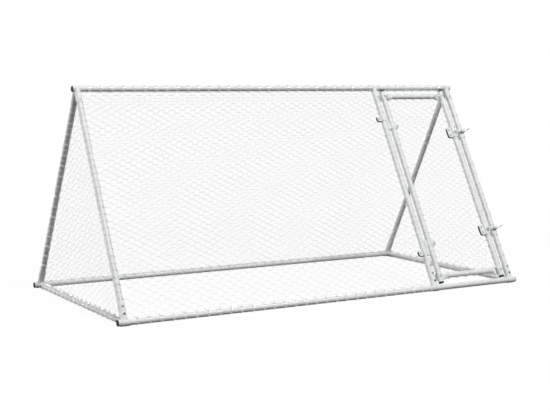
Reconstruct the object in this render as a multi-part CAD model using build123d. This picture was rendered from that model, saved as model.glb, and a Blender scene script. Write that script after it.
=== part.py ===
from build123d import *
import os
from math import atan2, ceil, cos, degrees, hypot, pi, sin, sqrt, tan

# A-frame poultry run of steel tube and hexagonal wire netting, in millimetres.
# X runs along the ridge, the door is in the front wall on the -Y side, near the +X end.
# The origin is on the ground under the middle of the run.

# Frame
LENGTH = 2000.0  # rail tubes, end to end
SPREAD = 980.0  # between the axes of the two rails
RISE = 895.0  # ridge axis above the rail axes
OVERHANG = 28.0  # rail end beyond the axis of an end leg
RIDGE_OVERHANG = 20.0  # ridge end beyond the axis of an end leg
TUBE_OD = 25.0
TUBE_WALL = 1.2

# Frame clamps: a band on the ridge or a rail, with sleeves for the tubes that meet there
FIT = 0.15  # radial room between pieces that slide together
BAND_WALL = 1.85
BAND_WIDTH = 36.0
SLEEVE_WALL = 1.6
APEX_SLEEVE = 64.0  # sleeve ends, measured from the axis of the band
FOOT_SLEEVE = 78.0
CROSS_SLEEVE = 58.0
POST_SLEEVE = 112.0
CORE_WALL = 4.0  # metal between two sleeves where they meet
SCREW_INSET = 4.0  # first screw of a leg or post from the end of the tube in its sleeve
APEX_SCREW = 53.0  # other screws, measured from the axis of the band
FOOT_SCREW = 62.0
CROSS_SCREW = 46.0
POST_SCREW = 67.0
POST_TOP_SCREW = 104.0

# Screws, bolts and nuts of 6 mm thread
BOLT_D = 6.0
HEX_ACROSS = 10.0
HEAD_HEIGHT = 4.0
NUT_HEIGHT = 5.0
BOLT_PAST_NUT = 2.0
SCREW_HEAD_R = 4.8  # bevelled head of a clamp screw
SCREW_HEAD = 2.6
SCREW_BEVEL = 1.1
SOCKET_ACROSS = 4.0
SOCKET_DEPTH = 1.7

# End plugs
PLUG_HEAD = 2.5
STILE_PLUG_HEAD = 5.0
PLUG_DEPTH = 8.0
PLUG_CHAMFER = 1.0

# Door, placed by distances up the slope from the axis of the front rail
DOOR_BAY = 439.0  # door post axis to front right leg axis
DOOR_GAP = 17.0  # clear gap between a stile and the post or leg beside it
STILE_FOOT = 19.0  # lower end of the stiles
STILE_HEAD = 18.0  # upper end of the stiles, down from the ridge axis
BOTTOM_RAIL = 53.0  # axis of the bottom rail
BOLT_CLEAR = 12.85  # end plug of a stile to the hole of the top rail bolt
FLAT_THICK = 2.6  # flattened end of a door rail
FLAT_WIDTH = 36.0
FLAT_PAST = 11.0  # flat end beyond the stile axis
FLAT_ROUND = 9.0
FLARE = 34.0  # length over which the round tube turns flat
SQUASH_TURN = pi / 3  # half of the arc on each side of the tube that is pressed flat

# Strap clamps of the hinges and latches
STRAP = 2.5
EAR_GAP = 3.0
EAR_ROUND = 8.0
HINGE_HEIGHT = 28.0
HINGE_EAR = 22.0  # ear beyond the tube
PIN_D = 8.0
PIN_ROOM = 0.25  # radial room of a pin in its eye
PIN_PAST = 4.0
BOSS_R = 6.0
EYE_WALL = 2.5
SHOULDER = 13.7  # collar on the pintle that carries the eye
SEAT = 0.3  # room between pieces that rest on each other
LOWER_HINGE = 169.0  # middle of the lower pintle clamp
UPPER_HINGE = 166.0  # middle of the upper pintle clamp, down from the ridge axis

# Latches
LOWER_LATCH = 257.0  # axis of the lower latch bar
UPPER_LATCH = 249.0  # axis of the upper latch bar, down from the ridge axis
LATCH_HEIGHT = 52.0
LATCH_EAR = 26.0
LATCH_BOLT_STEP = 26.0
PIVOT_BOSS_R = 7.0
PIVOT_STANDOFF = 4.5  # face of the pivot boss in front of the tube
BAR_D = 8.0
BAR_EYE_R = 8.5
BAR_PAST = 22.0  # bar beyond the axis of the leg
BAR_BEND = 9.0
BAR_HANDLE = 28.0
PIVOT_HEAD_R = 7.0
PIVOT_HEAD = 3.0
KEEPER_HEIGHT = 28.0
KEEPER_EAR = 20.0
KEEPER_EAR_TURN = -45.0  # ear turned from the door gap into the run
CRADLE_WIDTH = 24.0
CRADLE_THICK = 3.0
CRADLE_ROOM = 0.8
LIP_THICK = 2.5
LIP_ABOVE = 7.0  # lip above the axis of the bar

# Netting, drawn as a pierced sheet with a coarse mesh
NET_PITCH = 156.0  # hexagon across its flats, with one strand
NET_STRAND = 4.0
NET_THICK = 1.2
NET_HEM = 5.0
NET_ROOM = 0.4  # net edge to the tube beside it
NET_LEAST = 0.02  # smallest cut hexagon that stays open, as a share of a whole one

TUBE_R = TUBE_OD / 2
BORE_R = TUBE_R + FIT
BAND_R = BORE_R + BAND_WALL
SLEEVE_R = BORE_R + SLEEVE_WALL
STRAP_R = BORE_R + STRAP
RAIL_Z = BAND_R
HALF_SPREAD = SPREAD / 2
SLOPE = atan2(RISE, HALF_SPREAD)
SLANT = hypot(RISE, HALF_SPREAD)
LEG_X = LENGTH / 2 - OVERHANG
SIDE_GAP = TUBE_OD + DOOR_GAP  # stile axis to the axis of the post or leg beside it
BAR_REACH = SIDE_GAP + BAR_PAST
PLUG_END = STILE_HEAD + STILE_PLUG_HEAD + PLUG_DEPTH
TOP_RAIL = PLUG_END + BOLT_CLEAR + FIT + BOLT_D / 2  # axis of the top rail, down from the ridge axis
POST_X = LEG_X - DOOR_BAY
HINGE_X = POST_X + SIDE_GAP
LATCH_X = LEG_X - SIDE_GAP
SETBACK = BORE_R / tan(min(pi - 2 * SLOPE, SLOPE) / 2) + CORE_WALL
APEX_SCREWS = (APEX_SCREW,)
FOOT_SCREWS = (SETBACK + SCREW_INSET, FOOT_SCREW)
CROSS_SCREWS = (CROSS_SCREW,)
POST_SCREWS = (SETBACK + SCREW_INSET, POST_SCREW, POST_TOP_SCREW)
UP = (0, 0, 1)

# Each wall has its own frame: x along it, y into the run, z up it from the ground tube
FRONT = Plane(origin=(0, -HALF_SPREAD, RAIL_Z), x_dir=(1, 0, 0), z_dir=(0, cos(SLOPE), sin(SLOPE)))
BACK = Plane(origin=(0, HALF_SPREAD, RAIL_Z), x_dir=(-1, 0, 0), z_dir=(0, -cos(SLOPE), sin(SLOPE)))
LEFT = Plane(origin=(-LEG_X, 0, RAIL_Z), x_dir=(0, -1, 0), z_dir=UP)
RIGHT = Plane(origin=(LEG_X, 0, RAIL_Z), x_dir=(0, 1, 0), z_dir=UP)


def rod(start, end, radius):
    """Round bar between two points."""
    start = Vector(start)
    run = Vector(end) - start
    return extrude(Plane(origin=start, z_dir=run) * Circle(radius), amount=run.length)


def pipe(start, end):
    """Steel tube between two points."""
    start = Vector(start)
    run = Vector(end) - start
    ring = Circle(TUBE_R) - Circle(TUBE_R - TUBE_WALL)
    return extrude(Plane(origin=start, z_dir=run) * ring, amount=run.length)


def hexagon(start, direction, height, across=HEX_ACROSS):
    """Hexagonal prism of a bolt head, a nut or a socket."""
    outline = RegularPolygon(across / 2, 6, major_radius=False)
    return extrude(Plane(origin=start, z_dir=direction) * outline, amount=height)


def bolt(start, direction, grip):
    """Hexagon bolt whose head rests at start, with its shank along direction."""
    start = Vector(start)
    along = Vector(direction)
    shank = rod(start, start + along * (grip + NUT_HEIGHT + BOLT_PAST_NUT), BOLT_D / 2)
    return shank + hexagon(start, along * -1, HEAD_HEIGHT)


def nut(start, direction):
    """Hexagon nut that rests at start and stands along direction."""
    start = Vector(start)
    along = Vector(direction)
    bore = rod(start - along, start + along * (NUT_HEIGHT + 1), BOLT_D / 2 + FIT)
    return hexagon(start, along, NUT_HEIGHT) - bore


def bolt_hole(start, direction, depth):
    """Cutter for a bolt, through depth on each side of start."""
    start = Vector(start)
    along = Vector(direction) * depth
    return rod(start - along, start + along, BOLT_D / 2 + FIT)


def end_plug(tip, direction, head):
    """Plastic plug with a chamfered head, for the tube whose end is at tip."""
    profile = Polyline((0, -PLUG_DEPTH), (TUBE_R - TUBE_WALL - FIT, -PLUG_DEPTH), (TUBE_R - TUBE_WALL - FIT, 0),
                       (TUBE_R, 0), (TUBE_R, head - PLUG_CHAMFER), (TUBE_R - PLUG_CHAMFER, head),
                       (0, head), close=True)
    plug = revolve(Plane.XZ * make_face(profile), Axis.Z)
    return Plane(origin=tip, z_dir=direction) * plug


class Arm:
    """One sleeve of a frame clamp, with the places of its set screws."""

    def __init__(self, joint, direction, length, screws, screw_side):
        self.joint = Vector(joint)
        self.direction = Vector(direction)
        self.length = length
        self.screws = screws
        self.screw_side = Vector(screw_side)

    def at(self, distance):
        return self.joint + self.direction * distance


def frame_clamp(joint, arms):
    """Band round a tube along X, with a sleeve for each arm."""
    half_band = Vector(BAND_WIDTH / 2, 0, 0)
    joint = Vector(joint)
    body = rod(joint - half_band, joint + half_band, BAND_R)
    for arm in arms:
        body += rod(joint, arm.at(arm.length), SLEEVE_R)
    body -= rod(joint - half_band * 2, joint + half_band * 2, BORE_R)
    for arm in arms:
        body -= rod(arm.at(SETBACK), arm.at(arm.length + 1), BORE_R)
        for distance in arm.screws:
            middle = arm.at(distance)
            body -= rod(middle, middle + arm.screw_side * (BAND_R + 1), BOLT_D / 2 + FIT)
    return body


def socket_screw(tip, seat, outward):
    """Clamp screw with a hexagon socket, whose head rests at seat."""
    profile = Polyline((0, 0), (SCREW_HEAD_R, 0), (SCREW_HEAD_R, SCREW_HEAD - SCREW_BEVEL),
                       (SCREW_HEAD_R - SCREW_BEVEL, SCREW_HEAD), (0, SCREW_HEAD), close=True)
    head = Plane(origin=seat, z_dir=outward) * revolve(Plane.XZ * make_face(profile), Axis.Z)
    top = seat + outward * SCREW_HEAD
    return rod(tip, seat, BOLT_D / 2) + head - hexagon(top, outward * -1, SOCKET_DEPTH, SOCKET_ACROSS)


def set_screws(arms):
    """Screws that press on the tubes inside the sleeves."""
    screws = []
    for arm in arms:
        for distance in arm.screws:
            tip = arm.at(distance) + arm.screw_side * BORE_R
            seat = arm.at(distance) + arm.screw_side * (SLEEVE_R + FIT)
            screws.append(socket_screw(tip, seat, arm.screw_side))
    return screws


def frame_joints():
    """Every frame clamp by name, as its joint point and its arms."""
    ridge_z = RAIL_Z + RISE
    joints = {}
    for side, x, outward in (("left", -LEG_X, (-1, 0, 0)), ("right", LEG_X, (1, 0, 0))):
        apex = (x, 0, ridge_z)
        joints[side + "_apex_clamp"] = (apex, [
            Arm(apex, -FRONT.z_dir, APEX_SLEEVE, APEX_SCREWS, -FRONT.y_dir),
            Arm(apex, -BACK.z_dir, APEX_SLEEVE, APEX_SCREWS, -BACK.y_dir),
        ])
        for wall_name, wall, inward in (("front", FRONT, (0, 1, 0)), ("back", BACK, (0, -1, 0))):
            foot = (x, wall.origin.Y, RAIL_Z)
            joints[wall_name + "_" + side + "_foot_clamp"] = (foot, [
                Arm(foot, wall.z_dir, FOOT_SLEEVE, FOOT_SCREWS, -wall.y_dir),
                Arm(foot, inward, CROSS_SLEEVE, CROSS_SCREWS, outward),
            ])
    post_top = (POST_X, 0, ridge_z)
    joints["post_top_clamp"] = (post_top, [
        Arm(post_top, -FRONT.z_dir, APEX_SLEEVE, APEX_SCREWS, -FRONT.y_dir),
    ])
    post_foot = (POST_X, -HALF_SPREAD, RAIL_Z)
    joints["post_foot_clamp"] = (post_foot, [
        Arm(post_foot, FRONT.z_dir, POST_SLEEVE, POST_SCREWS, -FRONT.y_dir),
    ])
    return joints


def long_tubes():
    """Ridge and rails, by name, with their half lengths and their places across the run."""
    return {
        "ridge_tube": (LEG_X + RIDGE_OVERHANG, 0, RAIL_Z + RISE),
        "front_rail": (LENGTH / 2, -HALF_SPREAD, RAIL_Z),
        "back_rail": (LENGTH / 2, HALF_SPREAD, RAIL_Z),
    }


def frame_tubes():
    """Tubes of the frame, by name."""
    tubes = {}
    for name, (half_length, y, z) in long_tubes().items():
        tubes[name] = pipe((-half_length, y, z), (half_length, y, z))
    upright = pipe((0, 0, SETBACK), (0, 0, SLANT - SETBACK))
    for side, x in (("left", -LEG_X), ("right", LEG_X)):
        tubes["front_" + side + "_leg"] = FRONT * Pos(x, 0, 0) * upright
        tubes["back_" + side + "_leg"] = BACK * Pos(-x, 0, 0) * upright
        half_cross = HALF_SPREAD - SETBACK
        tubes[side + "_cross_tube"] = pipe((x, -half_cross, RAIL_Z), (x, half_cross, RAIL_Z))
    tubes["door_post"] = FRONT * Pos(POST_X, 0, 0) * upright
    return tubes


def frame_plugs():
    """End plugs of the ridge and the rails."""
    plugs = []
    for half_length, y, z in long_tubes().values():
        for end in (-1, 1):
            plugs.append(end_plug((end * half_length, y, z), (end, 0, 0), PLUG_HEAD))
    return plugs


def strap_clamp(height, ear, turn=0):
    """Strap bent round an upright tube, with two ears along -x before it is turned about the tube."""
    ear_end = TUBE_R + ear
    outline = Circle(STRAP_R) + Pos(-ear_end / 2, 0) * Rectangle(ear_end, EAR_GAP + 2 * STRAP)
    outline -= Circle(BORE_R)
    outline -= Pos(-ear_end / 2 - STRAP, 0) * Rectangle(ear_end, EAR_GAP)
    strap = extrude(outline, amount=height / 2, both=True)
    corners = strap.edges().filter_by(Axis.Y).group_by(Axis.X)[0]
    return Rot(0, 0, turn) * fillet(corners, min(EAR_ROUND, height / 3))


def ear_bolt_places(ear, turn, heights):
    """Middles of the bolts through the ears of a strap clamp, and the direction across the ears."""
    reach = (STRAP_R + TUBE_R + ear) / 2
    middles = []
    for height in heights:
        middles.append(Vector(-reach, 0, height).rotate(Axis.Z, turn))
    return middles, Vector(0, 1, 0).rotate(Axis.Z, turn)


def drilled(strap, ear, turn, heights):
    """Strap clamp with the holes of its ear bolts."""
    middles, across = ear_bolt_places(ear, turn, heights)
    for middle in middles:
        strap -= bolt_hole(middle, across, EAR_GAP + 2 * STRAP)
    return strap


def ear_fasteners(place, ear, turn, heights):
    """Bolts and nuts through the ears of the strap clamp at a place on the front wall."""
    half_grip = EAR_GAP / 2 + STRAP
    middles, across = ear_bolt_places(ear, turn, heights)
    bolts = []
    nuts = []
    for middle in middles:
        bolts.append(place * bolt(middle - across * half_grip, across, 2 * half_grip))
        nuts.append(place * nut(middle + across * half_grip, across))
    return bolts, nuts


def hinge_web(side):
    """Short web from the strap to the hinge axis on one side of the tube."""
    return Pos(side * (BORE_R + SIDE_GAP / 2) / 2, 0, 0) * Box(SIDE_GAP / 2 - BORE_R, PIN_D, HINGE_HEIGHT)


def hinge_eye_height():
    """Middle of the eye above the middle of its pintle clamp."""
    return HINGE_HEIGHT + SHOULDER + SEAT


def pintle_clamp(lean):
    """Hinge half on the door post, with its pintle up (lean 1) or down (lean -1)."""
    axis = SIDE_GAP / 2
    top = lean * HINGE_HEIGHT / 2
    collar_end = top + lean * SHOULDER
    pin_end = collar_end + lean * (SEAT + HINGE_HEIGHT + PIN_PAST)
    clamp = strap_clamp(HINGE_HEIGHT, HINGE_EAR) + hinge_web(1)
    clamp += rod((axis, 0, -top), (axis, 0, collar_end), BOSS_R)
    clamp -= rod((0, 0, -HINGE_HEIGHT), (0, 0, HINGE_HEIGHT), BORE_R)
    clamp += rod((axis, 0, -top), (axis, 0, pin_end), PIN_D / 2)
    return drilled(clamp, HINGE_EAR, 0, (0,))


def eye_clamp():
    """Hinge half on the door stile, with the eye that turns on the pintle."""
    axis = -SIDE_GAP / 2
    half = HINGE_HEIGHT / 2
    bore = PIN_D / 2 + PIN_ROOM
    clamp = strap_clamp(HINGE_HEIGHT, HINGE_EAR, 180) + hinge_web(-1)
    clamp += rod((axis, 0, -half), (axis, 0, half), bore + EYE_WALL)
    clamp -= rod((0, 0, -HINGE_HEIGHT), (0, 0, HINGE_HEIGHT), BORE_R)
    clamp -= rod((axis, 0, -HINGE_HEIGHT), (axis, 0, HINGE_HEIGHT), bore)
    return drilled(clamp, HINGE_EAR, 180, (0,))


def hinges():
    """Name, lean and height up the slope of each pintle clamp."""
    return (("lower_hinge", 1, LOWER_HINGE), ("upper_hinge", -1, SLANT - UPPER_HINGE))


def latches():
    """Name and height up the slope of each latch bar."""
    return (("lower_latch", LOWER_LATCH), ("upper_latch", SLANT - UPPER_LATCH))


BOSS_Y = -(TUBE_R + PIVOT_STANDOFF)
BAR_Y = BOSS_Y - SEAT - BAR_D / 2
PIVOT_SEAT_Y = BAR_Y - BAR_D / 2 - SEAT
LATCH_BOLTS = (-LATCH_BOLT_STEP / 2, LATCH_BOLT_STEP / 2)
KEEPER_MIDDLE = -(BAR_D + KEEPER_HEIGHT) / 2 - SEAT  # keeper strap below the axis of the bar


def latch_clamp():
    """Clamp on the latch stile, with the boss that carries the latch pivot."""
    clamp = strap_clamp(LATCH_HEIGHT, LATCH_EAR)
    clamp += rod((0, 0, 0), (0, BOSS_Y, 0), PIVOT_BOSS_R)
    clamp -= rod((0, 0, -LATCH_HEIGHT), (0, 0, LATCH_HEIGHT), BORE_R)
    clamp -= rod((0, 0, 0), (0, BOSS_Y - 1, 0), BOLT_D / 2 + FIT)
    return drilled(clamp, LATCH_EAR, 0, LATCH_BOLTS)


def latch_pivot():
    """Shouldered screw that the latch bar turns on."""
    pivot = rod((0, -BORE_R, 0), (0, BOSS_Y, 0), BOLT_D / 2)
    pivot += rod((0, BOSS_Y, 0), (0, PIVOT_SEAT_Y, 0), BAR_D / 2)
    return pivot + rod((0, PIVOT_SEAT_Y, 0), (0, PIVOT_SEAT_Y - PIVOT_HEAD, 0), PIVOT_HEAD_R)


def latch_bar():
    """Round bar with an eye at the pivot and a handle bent out towards the user."""
    route = FilletPolyline((0, BAR_Y, 0), (BAR_REACH, BAR_Y, 0), (BAR_REACH, BAR_Y - BAR_HANDLE, 0),
                           radius=BAR_BEND)
    bar = sweep(Plane(origin=(0, BAR_Y, 0), z_dir=(1, 0, 0)) * Circle(BAR_D / 2), path=route)
    bar += rod((0, BAR_Y + BAR_D / 2, 0), (0, BAR_Y - BAR_D / 2, 0), BAR_EYE_R)
    return bar - rod((0, BAR_Y + BAR_D, 0), (0, BAR_Y - BAR_D, 0), BAR_D / 2 + PIN_ROOM)


def latch_keeper():
    """Clamp on the front right leg, with a cradle under the bar and a lip in front of it."""
    floor = KEEPER_HEIGHT / 2
    lip_inner = BAR_Y - BAR_D / 2 - CRADLE_ROOM
    lip_outer = lip_inner - LIP_THICK
    lip_top = LIP_ABOVE - KEEPER_MIDDLE
    low = floor - CRADLE_THICK
    keeper = strap_clamp(KEEPER_HEIGHT, KEEPER_EAR, KEEPER_EAR_TURN)
    keeper += Pos(0, (lip_outer - TUBE_R) / 2, (low + floor) / 2) * Box(
        CRADLE_WIDTH, TUBE_R * -1 - lip_outer, CRADLE_THICK)
    keeper += Pos(0, (lip_inner + lip_outer) / 2, (low + lip_top) / 2) * Box(
        CRADLE_WIDTH, LIP_THICK, lip_top - low)
    keeper -= rod((0, 0, -KEEPER_HEIGHT), (0, 0, KEEPER_HEIGHT), BORE_R)
    return drilled(keeper, KEEPER_EAR, KEEPER_EAR_TURN, (0,))


def round_section(radius):
    """Circle as two broad arcs and two end arcs, to be lofted to a flat section."""
    x = radius * cos(SQUASH_TURN)
    y = radius * sin(SQUASH_TURN)
    outline = [
        ThreePointArc((x, -y), (radius, 0), (x, y)),
        ThreePointArc((x, y), (0, radius), (-x, y)),
        ThreePointArc((-x, y), (-radius, 0), (-x, -y)),
        ThreePointArc((-x, -y), (0, -radius), (x, -y)),
    ]
    return make_face(outline)


def flat_section(thick, width):
    """Squashed tube as two straight sides and two round ends."""
    x = thick / 2
    y = width / 2 - x
    outline = [
        Line((x, -y), (x, y)),
        ThreePointArc((x, y), (0, width / 2), (-x, y)),
        Line((-x, y), (-x, -y)),
        ThreePointArc((-x, -y), (0, -width / 2), (x, -y)),
    ]
    return make_face(outline)


def rail_flare(tube_x, flat_x, height, flat_y):
    """Stretch of a door rail that turns from a round tube into a flat end."""
    round_place = Plane(origin=(tube_x, 0, height), x_dir=(0, 1, 0), z_dir=(1, 0, 0))
    flat_place = Plane(origin=(flat_x, flat_y, height), x_dir=(0, 1, 0), z_dir=(1, 0, 0))
    walls = 2 * TUBE_WALL
    outside = loft([round_place * round_section(TUBE_R),
                    flat_place * flat_section(FLAT_THICK, FLAT_WIDTH)], ruled=True)
    inside = loft([round_place * round_section(TUBE_R - TUBE_WALL),
                   flat_place * flat_section(FLAT_THICK - walls, FLAT_WIDTH - walls)], ruled=True)
    return outside - inside


def rail_flat(stile_x, side, height, flat_y):
    """Flat end of a door rail behind a stile, with its bolt hole."""
    start = stile_x + side * (TUBE_R + 2 * STRAP)
    end = stile_x - side * FLAT_PAST
    plate = Pos((start + end) / 2, flat_y, height) * Box(abs(start - end), FLAT_THICK, FLAT_WIDTH)
    corners = plate.edges().filter_by(Axis.Y).group_by(Axis.X)[0 if side > 0 else -1]
    plate = fillet(corners, FLAT_ROUND)
    return plate - bolt_hole((stile_x, flat_y, height), (0, 1, 0), FLAT_THICK)


FLAT_Y = TUBE_R + SEAT + FLAT_THICK / 2


def door_rail(height):
    """Door rail with flattened ends, in the frame of the front wall."""
    reach = TUBE_R + 2 * STRAP
    ends = ((HINGE_X, 1), (LATCH_X, -1))
    inner = [x + side * (reach + FLARE) for x, side in ends]
    rail = pipe((inner[0], 0, height), (inner[1], 0, height))
    for (x, side), tube_x in zip(ends, inner):
        rail += rail_flare(tube_x, x + side * reach, height, FLAT_Y)
        rail += rail_flat(x, side, height, FLAT_Y)
    return rail


def stile(x):
    """Door stile with the holes of its two rail bolts, in the frame of the front wall."""
    tube = pipe((x, 0, STILE_FOOT + STILE_PLUG_HEAD), (x, 0, SLANT - STILE_HEAD - STILE_PLUG_HEAD))
    for height in rail_heights():
        tube -= bolt_hole((x, 0, height), (0, 1, 0), TUBE_OD)
    return tube


def rail_heights():
    """Heights of the two door rails up the slope."""
    return (BOTTOM_RAIL, SLANT - TOP_RAIL)


def door_fasteners():
    """Bolts and nuts that hold the door rails to the stiles."""
    back = FLAT_Y + FLAT_THICK / 2
    head_seat = -TUBE_R - FIT
    bolts = []
    nuts = []
    for x in (HINGE_X, LATCH_X):
        for height in rail_heights():
            bolts.append(FRONT * bolt((x, head_seat, height), (0, 1, 0), back - head_seat))
            nuts.append(FRONT * nut((x, back, height), (0, 1, 0)))
    return bolts, nuts


def door_plugs():
    """End plugs of the two stiles."""
    plugs = []
    for x in (HINGE_X, LATCH_X):
        foot = STILE_FOOT + STILE_PLUG_HEAD
        head = SLANT - STILE_HEAD - STILE_PLUG_HEAD
        plugs.append(FRONT * end_plug((x, 0, foot), (0, 0, -1), STILE_PLUG_HEAD))
        plugs.append(FRONT * end_plug((x, 0, head), UP, STILE_PLUG_HEAD))
    return plugs


def patch(x0, y0, x1, y1):
    """Rectangle between two corners."""
    return Pos((x0 + x1) / 2, (y0 + y1) / 2) * Rectangle(abs(x1 - x0), abs(y1 - y0))


def arm_shadow(joint, angle, length):
    """Part of a wall that a clamp sleeve covers, from its joint in a direction."""
    reach = length + NET_ROOM
    return Pos(*joint) * Rot(0, 0, angle) * Pos(reach / 2, 0) * Rectangle(reach, 2 * (SLEEVE_R + NET_ROOM))


def strap_shadow(x, height, tall, reach_low, reach_high):
    """Part of a wall that a strap clamp and its ears cover."""
    half = tall / 2 + 1
    return patch(x - reach_low, height - half, x + reach_high, height + half)


def netting(outline, covered):
    """Hexagonal netting over an outline, cut clear of the covered places."""
    for shape in covered:
        outline -= shape
    field = offset(outline, -NET_HEM)
    side = NET_PITCH / sqrt(3)
    hole_r = (NET_PITCH - NET_STRAND) / sqrt(3)
    whole = 1.5 * sqrt(3) * hole_r ** 2
    box = outline.bounding_box()
    columns = ceil(box.size.X / (1.5 * side)) + 1
    rows = ceil(box.size.Y / NET_PITCH) + 1
    places = []
    for column in range(columns):
        shift = NET_PITCH / 2 * (column % 2)
        for row in range(rows):
            places.append(Pos(box.min.X + column * 1.5 * side, box.min.Y + row * NET_PITCH + shift))
    meshes = Sketch() + [place * RegularPolygon(hole_r, 6) for place in places]
    openings = [face for face in (field & meshes).faces() if face.area > NET_LEAST * whole]
    sheet = extrude(outline - openings, amount=NET_THICK / 2, both=True)
    return Rot(90, 0, 0) * sheet


def ridge_band_shadow(x):
    """Part of a long wall that a clamp band on the ridge covers, with the root of the other wall's sleeve."""
    half_band = BAND_WIDTH / 2 + NET_ROOM
    high_band = max(BAND_R, SLEEVE_R / sin(pi - 2 * SLOPE)) + NET_ROOM
    return patch(x - half_band, SLANT - high_band, x + half_band, SLANT + high_band)


def corner_shadows(x, foot_sleeve, head_sleeve):
    """Bands and sleeves of the clamps at the foot and head of one upright of a long wall."""
    half_band = BAND_WIDTH / 2 + NET_ROOM
    high_band = BAND_R + NET_ROOM
    return [
        patch(x - half_band, -high_band, x + half_band, high_band),
        ridge_band_shadow(x),
        arm_shadow((x, 0), 90, foot_sleeve),
        arm_shadow((x, SLANT), -90, head_sleeve),
    ]


def front_netting():
    """Netting of the front wall, left of the door post."""
    edge = TUBE_R + NET_ROOM
    covered = corner_shadows(-LEG_X, FOOT_SLEEVE, APEX_SLEEVE)
    covered += corner_shadows(POST_X, POST_SLEEVE, APEX_SLEEVE)
    for _, _, height in hinges():
        covered.append(strap_shadow(POST_X, height, HINGE_HEIGHT, TUBE_R + HINGE_EAR + 1, 0))
    return FRONT * netting(patch(edge - LEG_X, edge, POST_X - edge, SLANT - edge), covered)


def back_netting():
    """Netting of the whole back wall."""
    edge = TUBE_R + NET_ROOM
    covered = corner_shadows(-LEG_X, FOOT_SLEEVE, APEX_SLEEVE)
    covered += corner_shadows(LEG_X, FOOT_SLEEVE, APEX_SLEEVE)
    covered.append(ridge_band_shadow(-POST_X))
    return BACK * netting(patch(edge - LEG_X, edge, LEG_X - edge, SLANT - edge), covered)


def end_netting(covered):
    """Netting of a triangular end wall."""
    slope = degrees(SLOPE)
    frame = Polygon((-HALF_SPREAD, 0), (HALF_SPREAD, 0), (0, RISE), align=None)
    shadows = list(covered)
    for side in (-1, 1):
        foot = (side * HALF_SPREAD, 0)
        along_leg = 90 + side * (90 - slope)
        shadows.append(arm_shadow(foot, along_leg, FOOT_SLEEVE))
        shadows.append(arm_shadow(foot, 90 + side * 90, CROSS_SLEEVE))
        shadows.append(arm_shadow((0, RISE), along_leg + 180, APEX_SLEEVE))
    return netting(offset(frame, -(TUBE_R + NET_ROOM), kind=Kind.INTERSECTION), shadows)


def keeper_shadows():
    """Places on the right end wall that the latch keepers on its front leg cover."""
    shadows = []
    for _, height in latches():
        half = KEEPER_HEIGHT / 2 + 1
        strip = patch(-STRAP_R - NET_ROOM, height + KEEPER_MIDDLE - half,
                      STRAP_R + NET_ROOM, height + KEEPER_MIDDLE + half)
        shadows.append(Pos(-HALF_SPREAD, 0) * Rot(0, 0, degrees(SLOPE) - 90) * strip)
    return shadows


def door_netting():
    """Netting of the door, between its stiles and rails."""
    edge = TUBE_R + NET_ROOM
    low, high = rail_heights()
    flare_end = TUBE_R + 2 * STRAP + FLARE
    flare_half = FLAT_WIDTH / 2 + NET_ROOM
    covered = []
    for height in (low, high):
        covered.append(patch(HINGE_X, height - flare_half, HINGE_X + flare_end, height + flare_half))
        covered.append(patch(LATCH_X - flare_end, height - flare_half, LATCH_X, height + flare_half))
    for _, lean, height in hinges():
        eye = height + lean * hinge_eye_height()
        covered.append(strap_shadow(HINGE_X, eye, HINGE_HEIGHT, 0, TUBE_R + HINGE_EAR + 1))
    for _, height in latches():
        covered.append(strap_shadow(LATCH_X, height, LATCH_HEIGHT, TUBE_R + LATCH_EAR + 1, 0))
    return FRONT * netting(patch(HINGE_X + edge, low + edge, LATCH_X - edge, high - edge), covered)


def hinge_pieces():
    """Hinge halves by name, with the bolts and nuts of each side grouped."""
    pieces = {}
    groups = {"post_hinge_bolts": [], "post_hinge_nuts": [], "door_hinge_bolts": [], "door_hinge_nuts": []}
    for name, lean, height in hinges():
        post = FRONT * Pos(POST_X, 0, height)
        door = FRONT * Pos(HINGE_X, 0, height + lean * hinge_eye_height())
        pieces[name + "_pintle"] = post * pintle_clamp(lean)
        pieces[name + "_eye"] = door * eye_clamp()
        for side, place, turn in (("post", post, 0), ("door", door, 180)):
            bolts, nuts = ear_fasteners(place, HINGE_EAR, turn, (0,))
            groups[side + "_hinge_bolts"] += bolts
            groups[side + "_hinge_nuts"] += nuts
    pieces.update(groups)
    return pieces


def latch_pieces():
    """Latch clamps, bars and keepers by name, with their fasteners grouped."""
    pieces = {}
    groups = {"latch_pivots": [], "latch_clamp_bolts": [], "latch_clamp_nuts": [],
              "keeper_bolts": [], "keeper_nuts": []}
    for name, height in latches():
        door = FRONT * Pos(LATCH_X, 0, height)
        leg = FRONT * Pos(LEG_X, 0, height + KEEPER_MIDDLE)
        pieces[name + "_clamp"] = door * latch_clamp()
        pieces[name + "_bar"] = door * latch_bar()
        pieces[name + "_keeper"] = leg * latch_keeper()
        groups["latch_pivots"].append(door * latch_pivot())
        bolts, nuts = ear_fasteners(door, LATCH_EAR, 0, LATCH_BOLTS)
        groups["latch_clamp_bolts"] += bolts
        groups["latch_clamp_nuts"] += nuts
        bolts, nuts = ear_fasteners(leg, KEEPER_EAR, KEEPER_EAR_TURN, (0,))
        groups["keeper_bolts"] += bolts
        groups["keeper_nuts"] += nuts
    pieces.update(groups)
    return pieces


def door_pieces():
    """Stiles, rails, plugs and fasteners of the door, by name."""
    low, high = rail_heights()
    bolts, nuts = door_fasteners()
    return {
        "hinge_stile": FRONT * stile(HINGE_X),
        "latch_stile": FRONT * stile(LATCH_X),
        "door_bottom_rail": FRONT * door_rail(low),
        "door_top_rail": FRONT * door_rail(high),
        "stile_plugs": door_plugs(),
        "door_rail_bolts": bolts,
        "door_rail_nuts": nuts,
        "door_netting": door_netting(),
    }


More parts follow.
